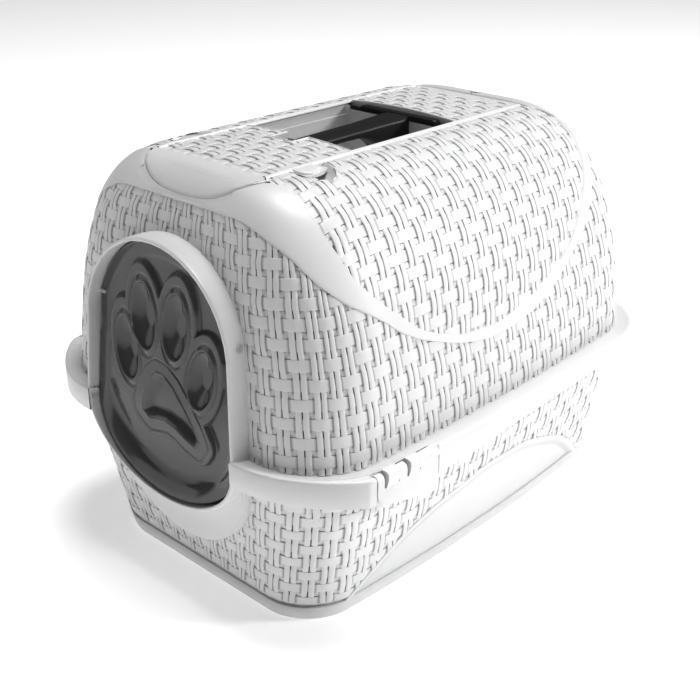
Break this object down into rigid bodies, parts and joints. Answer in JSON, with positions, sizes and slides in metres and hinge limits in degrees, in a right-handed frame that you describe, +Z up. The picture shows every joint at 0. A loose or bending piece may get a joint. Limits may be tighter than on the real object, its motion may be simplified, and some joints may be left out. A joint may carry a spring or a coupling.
{
  "type": "hooded cat litter box",
  "caption": "Hooded cat litter box with a wicker-look tray and lift-off hood, a swinging smoky entry flap, a hinged top lid round a carry handle, and side clips.",
  "frame": {"origin": "under the middle of the box, on the surface it stands on", "axes": "+Z up, +Y from the entry towards the rear, +X to the right of someone who looks in through the entry"},
  "size_m": [0.3936, 0.5, 0.375],
  "materials": {
    "white_plastic": "satin white moulded plastic",
    "pale_plastic": "pale grey moulded plastic",
    "black_plastic": "satin black moulded plastic",
    "smoky_clear": "glossy smoke-tinted clear plastic",
    "steel": "bright pins and screws",
    "charcoal": "black charcoal foam"
  },
  "bodies": {
    "tray": {"tray": "white_plastic"},
    "hood": {"hood": "white_plastic", "roof_insert": "pale_plastic", "carry_handle": "black_plastic", "handle_screws": "steel", "lid_hinge_pins": "steel", "flap_pins": "steel", "clip_hinge_pins": "steel", "carbon_filter": "charcoal", "filter_frame": "black_plastic"},
    "flap": {"entry_flap": "smoky_clear"},
    "lid": {"top_lid": "white_plastic"},
    "clip_left": {"clip_left": "white_plastic"},
    "clip_right": {"clip_right": "white_plastic"}
  },
  "joints": [
    {"name": "hood_lift", "type": "slide", "parent": "tray", "child": "hood", "axis": [0, 0, 1], "range_m": [0, 0.25]},
    {"name": "flap_swing", "type": "hinge", "parent": "hood", "child": "flap", "pos_m": [0, -0.2315, 0.2585], "axis": [1, 0, 0], "range_deg": [-80, 80]},
    {"name": "lid_open", "type": "hinge", "parent": "hood", "child": "lid", "pos_m": [0, 0.1548, 0.3715], "axis": [-1, 0, 0], "range_deg": [0, 95]},
    {"name": "clip_left_open", "type": "hinge", "parent": "hood", "child": "clip_left", "pos_m": [-0.189, -0.1555, 0.1635], "axis": [0, 1, 0], "range_deg": [0, 15]},
    {"name": "clip_right_open", "type": "hinge", "parent": "hood", "child": "clip_right", "pos_m": [0.189, -0.1555, 0.1635], "axis": [0, -1, 0], "range_deg": [0, 15]}
  ]
}
